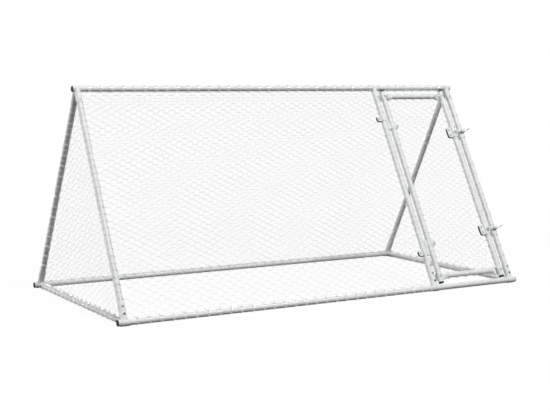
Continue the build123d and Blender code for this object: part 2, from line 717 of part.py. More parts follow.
def all_pieces():
    """Every node of the run, by name: one solid, or a list of like solids."""
    pieces = frame_tubes()
    screws = []
    for name, (joint, arms) in frame_joints().items():
        pieces[name] = frame_clamp(joint, arms)
        screws += set_screws(arms)
    pieces["clamp_screws"] = screws
    pieces["tube_end_plugs"] = frame_plugs()
    pieces["front_netting"] = front_netting()
    pieces["back_netting"] = back_netting()
    pieces["left_netting"] = LEFT * end_netting([])
    pieces["right_netting"] = RIGHT * end_netting(keeper_shadows())
    pieces.update(hinge_pieces())
    pieces.update(latch_pieces())
    pieces.update(door_pieces())
    return pieces


os.makedirs("parts", exist_ok=True)
for node, piece in all_pieces().items():
    if isinstance(piece, list):
        solids = [solid for item in piece for solid in item.solids()]
        piece = Compound(children=solids)
    export_step(piece, f"parts/{node}.step")
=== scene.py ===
from math import hypot, pi, radians

import bmesh
import bpy
from mathutils import Matrix, Vector


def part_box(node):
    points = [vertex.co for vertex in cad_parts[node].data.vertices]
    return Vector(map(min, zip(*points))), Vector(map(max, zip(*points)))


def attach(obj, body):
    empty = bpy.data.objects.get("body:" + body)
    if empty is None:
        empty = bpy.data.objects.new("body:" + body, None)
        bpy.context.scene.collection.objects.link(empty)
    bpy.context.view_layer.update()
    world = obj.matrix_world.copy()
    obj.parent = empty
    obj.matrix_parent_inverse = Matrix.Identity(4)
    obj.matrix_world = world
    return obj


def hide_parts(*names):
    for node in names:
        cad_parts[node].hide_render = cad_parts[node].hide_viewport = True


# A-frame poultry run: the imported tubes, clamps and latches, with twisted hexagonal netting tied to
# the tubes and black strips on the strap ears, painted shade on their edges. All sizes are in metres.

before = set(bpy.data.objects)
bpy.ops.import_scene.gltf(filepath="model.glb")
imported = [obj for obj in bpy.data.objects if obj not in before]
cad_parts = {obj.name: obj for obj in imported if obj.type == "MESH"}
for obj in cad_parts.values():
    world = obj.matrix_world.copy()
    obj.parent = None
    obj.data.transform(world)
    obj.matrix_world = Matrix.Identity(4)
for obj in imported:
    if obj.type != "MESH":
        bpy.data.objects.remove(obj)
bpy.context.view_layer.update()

# Netting
MESH = 0.030  # hexagon across its flats
COLUMN = 0.0255  # from one column of twists to the next
TWIST = 0.0155  # length of a twist
TWIST_R = 0.00056  # wire axis to the middle of a twist
TWIST_POINTS = 4  # points of each wire in a twist
WIRE_R = 0.00045
WIRE_SIDES = 4  # of all wires
NET_EDGE = 0.0185  # outermost twists to the axis of the tube beside them
FITTING_ROOM = 0.0015  # cut wires to the fitting beside them
WAVER = 0.0022  # how far the mesh strays in its own plane
BULGE = 0.005  # how far it strays out of it
STRAYS = ((6.0, 2.0), (38.0, 1.2))  # scale and weight of the slow and of the quick straying
RAY_START = 1.0  # in front of the netting, for rays that look for the places under fittings

# Ties
TIE_R = 0.0010  # radius of the wire
TIE_POINTS = 12  # points of the wire in each turn
TIE_STEP = 0.0021  # how far a tie drifts along its tube in each turn
TIE_TILT = (0.14, 0.05, 0.1)  # largest turn about the axis of its tube and about the other two
TIE_ROOM = 0.003  # ties to the fitting beside them
TIE_SEED = 7
NET_NECK = 0.0205  # where a tie meets the netting, from the axis of its tube
UPRIGHT_TURNS = 2  # turns of the ties on uprights and on the tubes across the ends
LIGHT_TURNS = 1  # of those that hold the back net to its legs and the door net to its stiles
LONG_TURNS = 4  # of those on the ridge and the rails
DOOR_TURNS = 3  # of those on the rails of the door
LEFT_CORNER = -pi / 2  # from the front wall round the front left leg to the end wall

# Black strips on the strap ears: painted shade, a dark piece on edges that are only in shade
EDGE_PROUD = 0.0022  # how far it stands out of the rim of the ears
EDGE_DEPTH = 0.0040  # how far its tongue reaches in between them
EDGE_ROOM = 0.0001  # room of the tongue between the ears
EDGE_ROUND = 0.0080  # lower corner of the ears
EDGE_ARC = 7  # points on that corner
EDGE_STOP = 0.0040  # tube to the end of the edging under the ears

# Clamp screws: the lowest are painted nearly black, painted shade for their shadowed sockets
PAINTED_SHADE_HEIGHTS = (0.040, 0.120)  # heights where the painted shade is darkest and where it ends

# Stage
WHITE = (1, 1, 1, 1)
AMBIENT = 0.07  # light of the surround on the object
FLOOR_HALF = 40.0
FLOOR_TONE = 0.97
FLOOR_BOUNCE = 0.05  # tone of the floor in the light that it throws back
FLOOR_WHITE = 0.93  # share of plain white in the floor round the object, as the camera sees it
FLOOR_PLAIN = (1.6, 3.4)  # from the object to where that share starts to grow and where it is 1
LAMP_AIM = (0, 0, 0.45)  # middle of the run
LAMPS = (  # name, place, width, height and power
    ("overhead", (-0.59, -8.40, 11.63), 4.2, 4.2, 1900),
    ("left", (-9.35, 5.72, 1.10), 4.2, 2.0, 550),
    ("behind", (4.80, 10.30, 1.40), 4.2, 4.2, 900),
)
CAMERA_PLACE = (-2.6978, -4.5839, 0.9295)
CAMERA_YAW = radians(30.329)
CAMERA_PITCH = radians(-3.305)
CAMERA_LENS = 75.803  # in millimetres, as is the sensor
CAMERA_SENSOR = 36
CAMERA_SHIFT = -0.1  # upright lines are nearly parallel in the photograph: its camera looked almost level


# --- places ----------------------------------------------------------------


def middle(node):
    low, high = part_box(node)
    return (low + high) / 2


def wall_frame(origin, along, up):
    """Place of a wall: x along it, y into the run, z up it."""
    inward = up.cross(along)
    turn = Matrix((along, inward, up)).transposed()
    return Matrix.Translation(origin) @ turn.to_4x4()


ridge_low, ridge_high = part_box("ridge_tube")
TUBE_R = (ridge_high.z - ridge_low.z) / 2
RIDGE_Z = middle("ridge_tube").z
RAIL_Z = middle("front_rail").z
HALF_SPREAD = middle("back_rail").y
RISE = RIDGE_Z - RAIL_Z
SLANT = hypot(RISE, HALF_SPREAD)
LEG_STEP = SLANT / HALF_SPREAD  # along a leg for each step across an end wall
LEG_X = middle("front_right_leg").x
POST_X = middle("door_post").x
HINGE_X = middle("hinge_stile").x
LATCH_X = middle("latch_stile").x

X = Vector((1, 0, 0))
Y = Vector((0, 1, 0))
Z = Vector((0, 0, 1))
FRONT = wall_frame(Vector((0, -HALF_SPREAD, RAIL_Z)), X, Vector((0, HALF_SPREAD, RISE)) / SLANT)
BACK = wall_frame(Vector((0, HALF_SPREAD, RAIL_Z)), -X, Vector((0, -HALF_SPREAD, RISE)) / SLANT)
LEFT = wall_frame(Vector((-LEG_X, 0, RAIL_Z)), -Y, Z)
RIGHT = wall_frame(Vector((LEG_X, 0, RAIL_Z)), Y, Z)
BOTTOM_RAIL = (FRONT.inverted() @ middle("door_bottom_rail")).z
TOP_RAIL = (FRONT.inverted() @ middle("door_top_rail")).z
# Plane of the strap ears: x from the tube towards their free ends, y up the slope, z into the run
EARS = FRONT @ Matrix(((-1, 0, 0), (0, 0, 1), (0, 1, 0))).to_4x4()


def on_wall(node, wall):
    """Points of a fitting in the frame of a wall."""
    to_wall = wall.inverted()
    return [to_wall @ vertex.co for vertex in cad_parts[node].data.vertices]


def spaced(first, step, count):
    return [first + step * k for k in range(count)]


def linked(name, data):
    """New object in the scene."""
    made = bpy.data.objects.new(name, data)
    bpy.context.scene.collection.objects.link(made)
    return made


def points_mesh(points, faces=(), edges=()):
    mesh = bpy.data.meshes.new("points")
    mesh.from_pydata([tuple(p) for p in points], edges, faces)
    return mesh


def covered_patches(nodes, wall, place, low, high):
    """Rectangles of a panel, in its own frame, under the fittings between low and high along the wall."""
    corners = []
    faces = []
    for node in nodes:
        reached = [p for p in on_wall(node, wall) if low < p.x < high]
        x = [p.x for p in reached]
        z = [p.z for p in reached]
        left = min(x) - FITTING_ROOM - place.x
        right = max(x) + FITTING_ROOM - place.x
        bottom = min(z) - FITTING_ROOM - place.z
        top = max(z) + FITTING_ROOM - place.z
        first = len(corners)
        corners += [(left, 0, bottom), (right, 0, bottom), (right, 0, top), (left, 0, top)]
        faces.append((first, first + 1, first + 2, first + 3))
    return points_mesh(corners, faces)


# --- node trees ------------------------------------------------------------


class Field:
    """A number worked out by a node tree; arithmetic on it adds nodes."""

    def __init__(self, tree, socket):
        self.tree = tree
        self.socket = socket

    def __add__(self, other):
        return self.tree.math("ADD", self, other)

    def __sub__(self, other):
        return self.tree.math("SUBTRACT", self, other)

    def __rsub__(self, other):
        return self.tree.math("SUBTRACT", other, self)

    def __mul__(self, other):
        return self.tree.math("MULTIPLY", self, other)

    def __truediv__(self, other):
        return self.tree.math("DIVIDE", self, other)

    def __gt__(self, other):
        return self.tree.math("GREATER_THAN", self, other)

    def __lt__(self, other):
        return self.tree.math("LESS_THAN", self, other)


class Nodes:
    """Nodes and links that are added to a graph."""

    def __init__(self, graph):
        self.graph = graph

    def feed(self, socket, value):
        if isinstance(value, Field):
            value = value.socket
        if isinstance(value, bpy.types.NodeSocket):
            self.graph.links.new(value, socket)
        else:
            socket.default_value = value

    def node(self, kind, sockets=None, **settings):
        made = self.graph.nodes.new(kind)
        for name, value in settings.items():
            setattr(made, name, value)
        for key, value in (sockets or {}).items():
            self.feed(made.inputs[key], value)
        return made


class Tree(Nodes):
    """A Geometry Nodes tree with named inputs."""

    def __init__(self, name, inputs):
        super().__init__(bpy.data.node_groups.new(name, "GeometryNodeTree"))
        sockets = self.graph.interface
        sockets.new_socket("Geometry", in_out="INPUT", socket_type="NodeSocketGeometry")
        self.keys = {}
        for label, kind in inputs.items():
            made = sockets.new_socket(label, in_out="INPUT", socket_type="NodeSocket" + kind)
            self.keys[label] = made.identifier
        sockets.new_socket("Geometry", in_out="OUTPUT", socket_type="NodeSocketGeometry")
        self.given = self.node("NodeGroupInput").outputs
        self.result = self.node("NodeGroupOutput").inputs[0]

    def size(self, label):
        return Field(self, self.given[label])

    def field(self, kind, sockets=None, **settings):
        return Field(self, self.node(kind, sockets, **settings).outputs[0])

    def math(self, operation, first, second=0.0):
        return self.field("ShaderNodeMath", {0: first, 1: second}, operation=operation)

    def vector(self, x, y, z):
        return self.node("ShaderNodeCombineXYZ", {0: x, 1: y, 2: z}).outputs[0]

    def stray(self, place):
        """Three numbers round zero that change slowly and a little quickly from place to place."""
        parts = []
        for scale, weight in STRAYS:
            noise = self.node("ShaderNodeTexNoise", {"Vector": place, "Scale": scale, "Detail": 0.0})
            split = self.node("ShaderNodeSeparateXYZ", {0: noise.outputs["Color"]})
            parts.append([(Field(self, socket) - 0.5) * weight for socket in split.outputs])
        return [slow + quick for slow, quick in zip(*parts)]

    def at(self, index, value, kind="FLOAT"):
        """Value at another point of the same geometry."""
        return self.field("GeometryNodeFieldAtIndex", {"Value": value, "Index": index}, data_type=kind)

    def wire(self, paths, radius):
        """Wires along paths."""
        section = self.node("GeometryNodeCurvePrimitiveCircle", {"Resolution": WIRE_SIDES, "Radius": radius})
        made = self.node("GeometryNodeCurveToMesh", {
            "Curve": paths, "Profile Curve": section.outputs[0], "Fill Caps": True})
        return self.node("GeometryNodeSetShadeSmooth", {"Geometry": made.outputs[0]}).outputs[0]

    def finish(self, geometry):
        """End of the tree: real geometry with its material."""
        whole = self.node("GeometryNodeRealizeInstances", {"Geometry": geometry})
        coated = self.node("GeometryNodeSetMaterial", {
            "Geometry": whole.outputs[0], "Material": self.given["Material"]})
        self.feed(self.result, coated.outputs[0])


def shaped(tree, mesh, **sizes):
    """Plain mesh that a tree makes from a mesh and its sizes."""
    holder = linked("holder", mesh)
    modifier = holder.modifiers.new("shape", "NODES")
    modifier.node_group = tree.graph
    for label, value in sizes.items():
        modifier[tree.keys[label.replace("_", " ").capitalize()]] = value
    now = bpy.context.evaluated_depsgraph_get()
    made = bpy.data.meshes.new_from_object(holder.evaluated_get(now), depsgraph=now)
    bpy.data.objects.remove(holder)
    bpy.data.meshes.remove(mesh)
    return made


def netting_tree():
    """Hexagonal netting: wires along x that twist with the neighbour above and below in turn.

    Faces of the incoming geometry mark the places that fittings cover.
    """
    tree = Tree("hexagonal_netting", {
        "Wires": "Int", "Columns": "Int", "Row step": "Float", "Column step": "Float", "Twist": "Float",
        "Twist radius": "Float", "Wire radius": "Float", "Half base": "Float", "Lean": "Float",
        "Waver": "Float", "Bulge": "Float", "Seed": "Float", "Material": "Material"})
    wires = tree.size("Wires")
    columns = tree.size("Columns")

    # A grid without the edges from wire to wire; there is a straight selvedge below and above
    lines = wires + 2
    grid = tree.node("GeometryNodeMeshGrid", {"Vertices X": columns * TWIST_POINTS, "Vertices Y": lines})
    ends = tree.node("GeometryNodeInputMeshEdgeVertices").outputs
    across = tree.math("ABSOLUTE", Field(tree, ends[0]) - Field(tree, ends[1])) < 1.5
    paths = tree.node("GeometryNodeDeleteGeometry", {"Geometry": grid.outputs[0], "Selection": across},
                      domain="EDGE", mode="EDGE_FACE")

    # Place of each point on its wire, and the straying of the mesh
    index = tree.field("GeometryNodeInputIndex")
    point = tree.math("FLOOR", (index + 0.5) / lines)
    wire = index - point * lines - 1
    column = tree.math("FLOOR", (point + 0.5) / TWIST_POINTS)
    step = point - column * TWIST_POINTS
    steps = TWIST_POINTS - 1
    upper = tree.math("MODULO", wire + column + 2, 2)
    row = tree.math("MINIMUM", tree.math("MAXIMUM", wire + 1 - upper, 0), wires)
    selvedge = (wire < -0.5) + (wire > wires - 0.5)
    reach = tree.size("Twist radius") * (1 - selvedge)
    angle = step * (2 * pi / steps) - pi / 2 + upper * pi
    x = (column - (columns - 1) / 2) * tree.size("Column step") \
        + (step - steps / 2) / steps * tree.size("Twist")
    y = reach * tree.math("COSINE", angle)
    z = row * tree.size("Row step") + reach * tree.math("SINE", angle)
    stray = tree.stray(tree.vector(x, tree.size("Seed"), z))
    place = tree.vector(x + stray[0] * tree.size("Waver"), y + stray[1] * tree.size("Bulge"),
                        z + stray[2] * tree.size("Waver"))
    laid = tree.node("GeometryNodeSetPosition", {"Geometry": paths.outputs[0], "Position": place})

    # Wires end at the sloping sides, and leave out the covered places
    place = tree.node("GeometryNodeInputPosition").outputs[0]
    split = tree.node("ShaderNodeSeparateXYZ", {0: place}).outputs
    inset = tree.size("Half base") - tree.size("Lean") * Field(tree, split[2]) \
        - tree.math("ABSOLUTE", Field(tree, split[0]))
    before = tree.node("ShaderNodeVectorMath", {0: place, 1: (0, -RAY_START, 0)}, operation="ADD")
    ray = tree.node("GeometryNodeRaycast", {
        "Target Geometry": tree.given["Geometry"], "Source Position": before.outputs[0],
        "Ray Direction": (0, 1, 0), "Ray Length": 2 * RAY_START})
    covered = Field(tree, ray.outputs["Is Hit"])
    inside = (inset > 0) * (1 - covered)
    led = tree.at(index - lines, inside)
    followed = tree.at(index + lines, inside)
    neighbour = index + lines - led * lines * 2
    cut = (1 - inside) * (1 - covered) * tree.math("MAXIMUM", led, followed)
    share = tree.at(neighbour, inset) / (tree.at(neighbour, inset) - inset)
    to_edge = tree.node("ShaderNodeMix", {
        "Factor": share, 4: tree.at(neighbour, place, "FLOAT_VECTOR"), 5: place},
        data_type="VECTOR", clamp_factor=True).outputs[1]
    kept = tree.node("GeometryNodeCaptureAttribute")
    kept.capture_items.new("FLOAT", "Drop")
    tree.feed(kept.inputs["Geometry"], laid.outputs[0])
    tree.feed(kept.inputs["Drop"], 1 - tree.math("MAXIMUM", inside, cut))
    trimmed = tree.node("GeometryNodeSetPosition", {
        "Geometry": kept.outputs["Geometry"], "Selection": cut, "Position": to_edge})
    left = tree.node("GeometryNodeDeleteGeometry", {
        "Geometry": trimmed.outputs[0], "Selection": kept.outputs["Drop"]}, domain="POINT")
    curves = tree.node("GeometryNodeMeshToCurve", {"Mesh": left.outputs[0]})
    tree.finish(tree.wire(curves.outputs[0], tree.size("Wire radius")))
    return tree


def tie_tree():
    """Wire ties wound round a tube along x, one on each incoming point.

    One end of a tie is drawn towards z, and the other end towards the spread angle from z.
    """
    tree = Tree("netting_ties", {
        "Turns": "Int", "Step": "Float", "Tube radius": "Float", "Neck": "Float",
        "Wire radius": "Float", "Spread": "Float", "Seed": "Int", "Material": "Material"})
    turns = tree.size("Turns")
    last = turns * TIE_POINTS
    path = tree.node("GeometryNodeMeshLine", {"Count": last + 1})
    index = tree.field("GeometryNodeInputIndex")
    start = index < 0.5
    end = index > last - 0.5
    tube = tree.size("Tube radius") + tree.size("Wire radius")
    neck = tree.size("Neck")
    spread = tree.size("Spread")
    contact = tree.math("ARCCOSINE", tube / neck)
    angle = contact + (index - 1) * (spread + turns * (2 * pi) - contact * 2) / (last - 2)
    angle = angle * (1 - start) * (1 - end) + spread * end
    radius = tube + (neck - tube) * tree.math("MAXIMUM", start, end)
    x = tree.size("Step") * turns * (index / last - 0.5)
    y = radius * tree.math("SINE", angle)
    z = radius * tree.math("COSINE", angle)
    bent = tree.node("GeometryNodeSetPosition", {
        "Geometry": path.outputs[0], "Position": tree.vector(x, y, z)})
    curve = tree.node("GeometryNodeMeshToCurve", {"Mesh": bent.outputs[0]})
    tie = tree.wire(curve.outputs[0], tree.size("Wire radius"))
    turn = tree.node("FunctionNodeRandomValue", {
        0: tuple(-limit for limit in TIE_TILT), 1: TIE_TILT, "Seed": tree.given["Seed"]},
        data_type="FLOAT_VECTOR")
    facing = tree.node("FunctionNodeEulerToRotation", {0: turn.outputs[0]})
    placed = tree.node("GeometryNodeInstanceOnPoints", {
        "Points": tree.given["Geometry"], "Instance": tie, "Rotation": facing.outputs[0]})
    tree.finish(placed.outputs[0])
    return tree


def shade_strip_tree():
    """Black strip along incoming paths in the xy plane, a cap outside each path and a tongue inside it: painted
    shade on the strap ears.
    """
    tree = Tree("ear_edging", {
        "Corner": "Float", "Cap": "Float", "Proud": "Float", "Tongue": "Float", "Depth": "Float",
        "Material": "Material"})
    paths = tree.node("GeometryNodeMeshToCurve", {"Mesh": tree.given["Geometry"]})
    bent = tree.node("GeometryNodeFilletCurve", {
        "Curve": paths.outputs[0], "Radius": tree.size("Corner"), "Count": EDGE_ARC}, mode="POLY")
    level = tree.node("GeometryNodeSetCurveNormal", {"Curve": bent.outputs[0]}, mode="Z_UP")
    both = tree.node("GeometryNodeJoinGeometry")
    overlap = tree.size("Proud") / 4
    for thick, low, high in ((tree.size("Cap"), 0 - tree.size("Proud"), 0.0),
                             (tree.size("Tongue"), 0 - overlap, tree.size("Depth"))):
        section = tree.node("GeometryNodeCurvePrimitiveQuadrilateral", {"Width": high - low, "Height": thick})
        moved = tree.node("GeometryNodeTransform", {
            "Geometry": section.outputs[0], "Translation": tree.vector((low + high) / 2, 0.0, 0.0)})
        swept = tree.node("GeometryNodeCurveToMesh", {
            "Curve": level.outputs[0], "Profile Curve": moved.outputs[0], "Fill Caps": True})
        tree.feed(both.inputs[0], swept.outputs[0])
    tree.finish(both.outputs[0])
    return tree


netting = netting_tree()
ties = tie_tree()
shade_strip_nodes = shade_strip_tree()

# --- materials -------------------------------------------------------------


class Finish(Nodes):
    """A material under construction round one Principled shader."""

    def __init__(self, name):
        self.material = bpy.data.materials.new(name)
        self.material.use_nodes = True
        super().__init__(self.material.node_tree)
        self.shader = self.graph.nodes["Principled BSDF"]
        self.place = self.node("ShaderNodeTexCoord").outputs["Object"]

    def noise(self, scale, detail):
        return self.node("ShaderNodeTexNoise", {
            "Vector": self.place, "Scale": scale, "Detail": detail}).outputs[0]

    def flowers(self, scale):
        """Random number for each crystal of a zinc coat."""
        cells = self.node("ShaderNodeTexVoronoi", {"Vector": self.place, "Scale": scale, "Randomness": 1.0})
        return self.node("ShaderNodeSeparateColor", {0: cells.outputs["Color"]}).outputs[0]

    def mix(self, share, first, second):
        return self.node("ShaderNodeMix", {"Factor": share, 2: first, 3: second}).outputs[0]

    def ramp(self, value, *stops):
        """Value as a colour between two stops, each a position and a colour."""
        made = self.node("ShaderNodeValToRGB", {"Fac": value})
        for element, (position, colour) in zip(made.color_ramp.elements, stops):
            element.position = position
            element.color = (*colour, 1)
        return made.outputs["Color"]

    def spread(self, value, low, high):
        """Value from 0 to 1 as a number from low to high."""
        return self.node("ShaderNodeMapRange", {"Value": value, "To Min": low, "To Max": high}).outputs[0]

    def set(self, **values):
        for label, value in values.items():
            self.feed(self.shader.inputs[label.replace("_", " ")], value)

    def bump(self, height, depth, strength):
        made = self.node("ShaderNodeBump", {"Height": height, "Distance": depth, "Strength": strength})
        self.feed(self.shader.inputs["Normal"], made.outputs[0])


def zinc_tube():
    """Dull galvanised tube: faint zinc flowers, clouding and drawing marks."""
    finish = Finish("dull_zinc_tube")
    cell = finish.flowers(110.0)
    cloud = finish.noise(14.0, 5.0)
    grain = finish.noise(900.0, 2.0)
    mixed = finish.mix(0.55, cell, cloud)
    colour = finish.ramp(mixed, (0.25, (0.70, 0.715, 0.72)), (0.75, (0.84, 0.85, 0.85)))
    finish.set(Base_Color=colour, Roughness=finish.spread(cell, 0.40, 0.58), Metallic=0.02,
               Specular_IOR_Level=0.3)
    finish.bump(grain, 0.0002, 0.25)
    return finish.material


def zinc_fitting():
    """Pressed and welded clamps, galvanised after welding: rougher and paler than the tube."""
    finish = Finish("hot_dipped_fitting")
    cell = finish.flowers(160.0)
    runs = finish.noise(45.0, 6.0)
    mixed = finish.mix(0.65, cell, runs)
    colour = finish.ramp(mixed, (0.25, (0.70, 0.715, 0.72)), (0.75, (0.85, 0.855, 0.855)))
    finish.set(Base_Color=colour, Roughness=finish.spread(runs, 0.42, 0.62), Metallic=0.02,
               Specular_IOR_Level=0.3)
    finish.bump(runs, 0.0004, 0.3)
    return finish.material


def weathered_screw():
    """Plated set screws with painted shade: nearly black near the ground, their plain plated colour higher up.
    """
    finish = Finish("weathered_screw")
    turned = finish.noise(400.0, 3.0)
    height = finish.node("ShaderNodeSeparateXYZ", {0: finish.place}).outputs[2]
    # Painted shade: darkest at the lower height, none above the upper
    unshaded_share = finish.node("ShaderNodeMapRange", {
        "Value": height, "From Min": PAINTED_SHADE_HEIGHTS[0], "From Max": PAINTED_SHADE_HEIGHTS[1]}).outputs[0]
    mixed = finish.mix(0.15, unshaded_share, turned)
    colour = finish.ramp(mixed, (0.08, (0.035, 0.035, 0.035)), (0.92, (0.58, 0.59, 0.60)))
    finish.set(Base_Color=colour, Roughness=finish.spread(turned, 0.34, 0.50), Metallic=0.3)
    finish.bump(turned, 0.0001, 0.3)
    return finish.material


def mottled(name, scale, detail, dark, pale, rough, bump=None, **settings):
    """Finish with one pattern for its colour, its roughness, and its bumps of a depth and a strength."""
    finish = Finish(name)
    pattern = finish.noise(scale, detail)
    finish.set(Base_Color=finish.ramp(pattern, (0.3, dark), (0.7, pale)),
               Roughness=finish.spread(pattern, *rough), **settings)
    if bump:
        finish.bump(pattern, *bump)
    return finish.material


finishes = {
    "galvanised_tube": zinc_tube(),
    "galvanised_fitting": zinc_fitting(),
    # Thin galvanised wire
    "netting_wire": mottled("galvanised_wire", scale=60.0, detail=3.0, dark=(0.64, 0.65, 0.65),
                            pale=(0.80, 0.805, 0.805), rough=(0.35, 0.5), Metallic=0.25),
    # Bright zinc plated bolts and nuts
    "zinc_fastener": mottled("plated_fastener", scale=400.0, detail=3.0, dark=(0.50, 0.51, 0.53),
                             pale=(0.66, 0.67, 0.68), rough=(0.32, 0.46), bump=(0.0001, 0.3), Metallic=0.35),
    # Moulded end plugs, and the black strips on the ears that are painted shade
    "black_plastic": mottled("moulded_plug", scale=700.0, detail=3.0, dark=(0.006, 0.006, 0.0065),
                             pale=(0.015, 0.015, 0.016), rough=(0.55, 0.70), bump=(0.0002, 0.4),
                             Specular_IOR_Level=0.15),
}
# Bright zinc plated latch bars, drawn and polished by the hand that lifts them
bar_finish = mottled("plated_bar", scale=240.0, detail=4.0, dark=(0.78, 0.79, 0.80), pale=(0.88, 0.885, 0.89),
                     rough=(0.24, 0.38), bump=(0.0001, 0.2), Metallic=0.75)
# Bare wire of the ties, smoother than the netting
bare_wire = mottled("bare_tie_wire", scale=80.0, detail=3.0, dark=(0.62, 0.625, 0.625), pale=(0.72, 0.72, 0.72),
                    rough=(0.25, 0.36), Metallic=0.9)
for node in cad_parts.values():
    for place, given in enumerate(node.data.materials):
        node.data.materials[place] = finishes[given.name]
for node in ("lower_latch_bar", "upper_latch_bar"):
    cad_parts[node].data.materials[0] = bar_finish
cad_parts["clamp_screws"].data.materials[0] = weathered_screw()

# --- netting ---------------------------------------------------------------


def add_piece(name, mesh, body, slot, *nodes):
    """Finished piece on a body, in place of the coarse nodes that are named."""
    mesh.name = name
    piece = linked(name, mesh)
    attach(piece, body)
    if nodes:
        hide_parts(*nodes)


def netting_panel(node, body, wall, place, patches, seed, **sizes):
    """Netting in a wall, in place of its coarse node, with patches left out."""
    mesh = shaped(netting, patches, twist=TWIST, twist_radius=TWIST_R, wire_radius=WIRE_R, waver=WAVER,
                  bulge=BULGE, seed=seed, material=finishes["netting_wire"], **sizes)
    mesh.transform(wall @ Matrix.Translation(place))
    add_piece(node + "_mesh", mesh, body, "netting_wire", node)


def rectangle_panel(node, body, wall, sides, low, high, fittings):
    """Netting between two uprights and two cross tubes of a wall, given by the places of their axes."""
    place = Vector(((sides[0] + sides[1]) / 2, 0, low + NET_EDGE))
    width = sides[1] - sides[0] - 2 * NET_EDGE
    height = high - low - 2 * NET_EDGE
    wires = round(height / (MESH / 2))
    columns = round((width - TWIST) / COLUMN) + 1
    step = (width - TWIST) / (columns - 1)
    row = height / wires
    patches = covered_patches(fittings, wall, place, sides[0] + NET_EDGE, sides[1] - NET_EDGE)
    netting_panel(node, body, wall, place, patches, wall.translation.x + wall.translation.y, wires=wires,
                  columns=columns, row_step=row, column_step=step, half_base=width, lean=0.0)
    return {"rows": spaced(place.z, row, wires + 1),
            "columns": spaced(place.x - (columns - 1) / 2 * step, step, columns)}


def triangle_panel(node, wall):
    """Netting of an end wall."""
    lean = HALF_SPREAD / RISE
    half_base = HALF_SPREAD - NET_EDGE * SLANT / RISE - NET_EDGE * lean
    wires = round(half_base / lean / (MESH / 2))
    columns = round(2 * half_base / COLUMN) + 1
    netting_panel(node, "frame", wall, Vector((0, 0, NET_EDGE)), points_mesh([]), wall.translation.x,
                  wires=wires, columns=columns, row_step=MESH / 2, column_step=COLUMN, half_base=half_base,
                  lean=lean)
    return {"columns": spaced(-(columns - 1) / 2 * COLUMN, COLUMN, columns)}


front_panel = rectangle_panel("front_netting", "frame", FRONT, (-LEG_X, POST_X), 0, SLANT,
                              ["lower_hinge_pintle", "upper_hinge_pintle"])
back_panel = rectangle_panel("back_netting", "frame", BACK, (-LEG_X, LEG_X), 0, SLANT, [])
door_panel = rectangle_panel("door_netting", "door", FRONT, (HINGE_X, LATCH_X), BOTTOM_RAIL, TOP_RAIL,
                             ["lower_hinge_eye", "upper_hinge_eye", "lower_latch_clamp", "upper_latch_clamp"])
left_panel = triangle_panel("left_netting", LEFT)
right_panel = triangle_panel("right_netting", RIGHT)

# --- ties ------------------------------------------------------------------


class Ties:
    """Ties that ride on one body, gathered run by run into one mesh."""

    def __init__(self):
        self.gathered = bmesh.new()
        self.runs = 0

    def along(self, wall, start, tube, neck, stations, axis, fittings, turns, spread=0.0):
        """Ties on a tube from a start point of a wall, except where fittings hold the tube."""
        taken = []
        for node in fittings:
            reached = [p[axis] for p in on_wall(node, wall)]
            taken.append((min(reached) - TIE_ROOM, max(reached) + TIE_ROOM))
        free = [s for s in stations if not any(low < s < high for low, high in taken)]
        points = points_mesh([(s, 0, 0) for s in free])
        mesh = shaped(ties, points, tube_radius=TUBE_R, neck=NET_NECK, turns=turns, step=TIE_STEP,
                      wire_radius=TIE_R, spread=spread, seed=TIE_SEED + self.runs, material=bare_wire)
        turn = Matrix((tube, neck.cross(tube), neck)).transposed().to_4x4()
        mesh.transform(wall @ Matrix.Translation(start) @ turn)
        self.gathered.from_mesh(mesh)
        bpy.data.meshes.remove(mesh)
        self.runs += 1

    def cross_tubes(self, wall, panel, low, high, fittings, turns):
        """Ties of a rectangular panel along the tubes below and above it."""
        below = panel["columns"][1::2]
        above = panel["columns"][len(panel["rows"]) % 2::2]
        self.along(wall, Vector((0, 0, low)), X, Z, below, 0, fittings["low"], turns)
        self.along(wall, Vector((0, 0, high)), X, -Z, above, 0, fittings["high"], turns)

    def uprights(self, wall, panel, sides, fittings, turns, corner=0.0):
        """Ties of a rectangular panel on the tubes at its sides.

        At a corner the far ends of the ties at the start hold the end wall.
        """
        starts = panel["rows"][1::2]
        ends = panel["rows"][1 + (len(panel["columns"]) - 1) % 2::2]
        self.along(wall, Vector((sides[0], 0, 0)), Z, X, starts, 2, fittings["start"], turns, corner)
        self.along(wall, Vector((sides[1], 0, 0)), Z, -X, ends, 2, fittings["end"], turns)

    def finish(self, name, body):
        mesh = bpy.data.meshes.new(name)
        self.gathered.to_mesh(mesh)
        self.gathered.free()
        mesh.materials.append(bare_wire)
        add_piece(name, mesh, body, "netting_wire")


def up_leg(panel):
    """Places up a leg where the columns of an end wall meet it."""
    return [(HALF_SPREAD - column) * LEG_STEP for column in panel["columns"] if column > 0]


